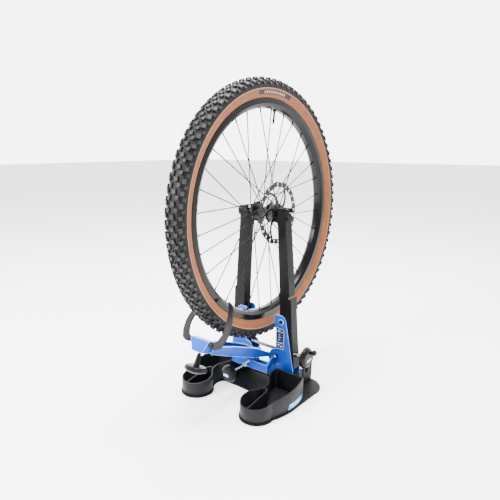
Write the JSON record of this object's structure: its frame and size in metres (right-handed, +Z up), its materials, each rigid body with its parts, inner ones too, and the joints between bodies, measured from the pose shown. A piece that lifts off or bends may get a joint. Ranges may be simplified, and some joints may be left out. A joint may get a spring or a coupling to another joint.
{
  "type": "bicycle wheel truing stand with wheel",
  "caption": "Wheel truing stand on a tilting tray base: uprights clamp a tyred disc-brake wheel, with calliper arms on a height-adjustable arm.",
  "frame": {"origin": "on the bench, at the underside of the base plate, under the middle of the wheel", "axes": "+Z up, -Y towards the calliper arm and the front of the trays, +X towards the disc rotor and the lead knob"},
  "size_m": [0.364, 0.748, 0.904],
  "materials": {
    "black_plate": "satin black powder coat",
    "tray_plastic": "fine grained matte black",
    "dark_bolt": "black oxide",
    "badge_blue": "printed badge, blue and white",
    "rubber_rest": "matte",
    "blue_paint": "semi-gloss blue powder coat",
    "steel_bright": "zinc plated",
    "label_dark": "printed label with a pale border",
    "screw_steel": "black oxide steel",
    "upright_black": "satin dark grey powder coat",
    "knob_black": "gloss black",
    "tyre_rubber": "black tread, tan sidewall",
    "rim_black": "gloss black anodised look",
    "hub_black": "black anodised",
    "rotor_steel": "dark brushed steel",
    "spoke_black": "black"
  },
  "bodies": {
    "base": {"base_plate": "black_plate", "tray_right": "tray_plastic", "tray_left": "tray_plastic", "tray_screws": "dark_bolt", "tray_badges": "badge_blue", "tilt_posts": "black_plate", "tilt_bolts": "dark_bolt", "cradle_rests": "rubber_rest"},
    "stand": {"tilt_cradle": "black_plate", "front_plate": "blue_paint", "rear_plate": "blue_paint", "plate_spacers": "steel_bright", "spacer_bolts": "steel_bright", "pivot_bolts": "dark_bolt", "plate_labels": "label_dark", "screw_supports": "screw_steel", "arm_ears": "blue_paint", "arm_pin": "steel_bright", "axle_rod": "steel_bright", "height_bush": "blue_paint"},
    "upright_r": {"upright_right": "upright_black", "upright_cover_right": "upright_black", "dropout_right": "upright_black"},
    "upright_l": {"upright_left": "upright_black", "upright_cover_left": "upright_black", "dropout_left": "upright_black"},
    "lead_turn": {"lead_screw": "screw_steel", "screw_stop": "dark_bolt", "lead_knob": "knob_black", "lead_knob_badge": "badge_blue"},
    "crank": {"crank_grip": "knob_black"},
    "nut_r": {"screw_nut_right": "screw_steel"},
    "nut_l": {"screw_nut_left": "screw_steel"},
    "wheel": {"tyre": "tyre_rubber", "rim": "rim_black", "hub_shell": "hub_black", "hub_bearings": "hub_black", "brake_rotor": "rotor_steel", "rotor_bolts": "rotor_steel", "spokes_right": "spoke_black", "spokes_left": "spoke_black", "spoke_nipples": "spoke_black", "valve_stem": "spoke_black"},
    "arm": {"calliper_arm": "blue_paint", "calliper_bracket": "blue_paint"},
    "calliper_turn": {"calliper_shaft": "steel_bright", "calliper_knob": "knob_black"},
    "calliper_r": {"calliper_right": "upright_black"},
    "calliper_l": {"calliper_left": "upright_black"},
    "height_turn": {"height_screw": "steel_bright", "height_collar": "steel_bright", "height_knob": "knob_black", "height_knob_badge": "badge_blue"}
  },
  "joints": [
    {"name": "base_tilt", "type": "hinge", "parent": "base", "child": "stand", "pos_m": [0, 0.068, 0.078], "axis": [-1, 0, 0], "range_deg": [0, 12]},
    {"name": "screw_turn", "type": "hinge", "parent": "stand", "child": "lead_turn", "pos_m": [0, 0, 0.112], "axis": [1, 0, 0], "range_deg": [0, 235]},
    {"name": "upright_right_swing", "type": "hinge", "parent": "stand", "child": "upright_r", "pos_m": [0.075, 0, 0.2105], "axis": [0, 1, 0], "range_deg": [0, 3.8]},
    {"name": "upright_left_swing", "type": "hinge", "parent": "stand", "child": "upright_l", "pos_m": [-0.075, 0, 0.2105], "axis": [0, -1, 0], "range_deg": [0, 3.8]},
    {"name": "nut_right_slide", "type": "slide", "parent": "stand", "child": "nut_r", "axis": [-1, 0, 0], "range_m": [0, 0.0066]},
    {"name": "nut_left_slide", "type": "slide", "parent": "stand", "child": "nut_l", "axis": [1, 0, 0], "range_m": [0, 0.0066]},
    {"name": "crank_spin", "type": "hinge", "parent": "lead_turn", "child": "crank", "pos_m": [0.17, 0.018, 0.125], "axis": [1, 0, 0], "continuous": true},
    {"name": "wheel_spin", "type": "hinge", "parent": "stand", "child": "wheel", "pos_m": [0, 0, 0.53], "axis": [1, 0, 0], "continuous": true},
    {"name": "arm_tilt", "type": "hinge", "parent": "stand", "child": "arm", "pos_m": [0, 0.008, 0.078], "axis": [1, 0, 0], "range_deg": [-4, 9]},
    {"name": "height_turn", "type": "hinge", "parent": "stand", "child": "height_turn", "pos_m": [0, -0.15, 0.082], "axis": [0, -1, 0], "range_deg": [-170, 380]},
    {"name": "calliper_knob_turn", "type": "hinge", "parent": "arm", "child": "calliper_turn", "pos_m": [0, -0.30316, 0.14439], "axis": [0, 0.3746, 0.9272], "range_deg": [0, 200]},
    {"name": "calliper_right_slide", "type": "slide", "parent": "arm", "child": "calliper_r", "axis": [1, 0, 0], "range_m": [0, 0.02]},
    {"name": "calliper_left_slide", "type": "slide", "parent": "arm", "child": "calliper_l", "axis": [-1, 0, 0], "range_m": [0, 0.02]}
  ],
  "couplings": [
    {"joint": "upright_right_swing", "follows": "screw_turn", "ratio": 0.016158},
    {"joint": "upright_left_swing", "follows": "screw_turn", "ratio": 0.016158},
    {"joint": "nut_right_slide", "follows": "screw_turn", "m_per_rad": 0.0015915},
    {"joint": "nut_left_slide", "follows": "screw_turn", "m_per_rad": 0.0015915},
    {"joint": "height_turn", "follows": "arm_tilt", "ratio": 42},
    {"joint": "calliper_right_slide", "follows": "calliper_knob_turn", "m_per_rad": 0.0057},
    {"joint": "calliper_left_slide", "follows": "calliper_knob_turn", "m_per_rad": 0.0057}
  ]
}
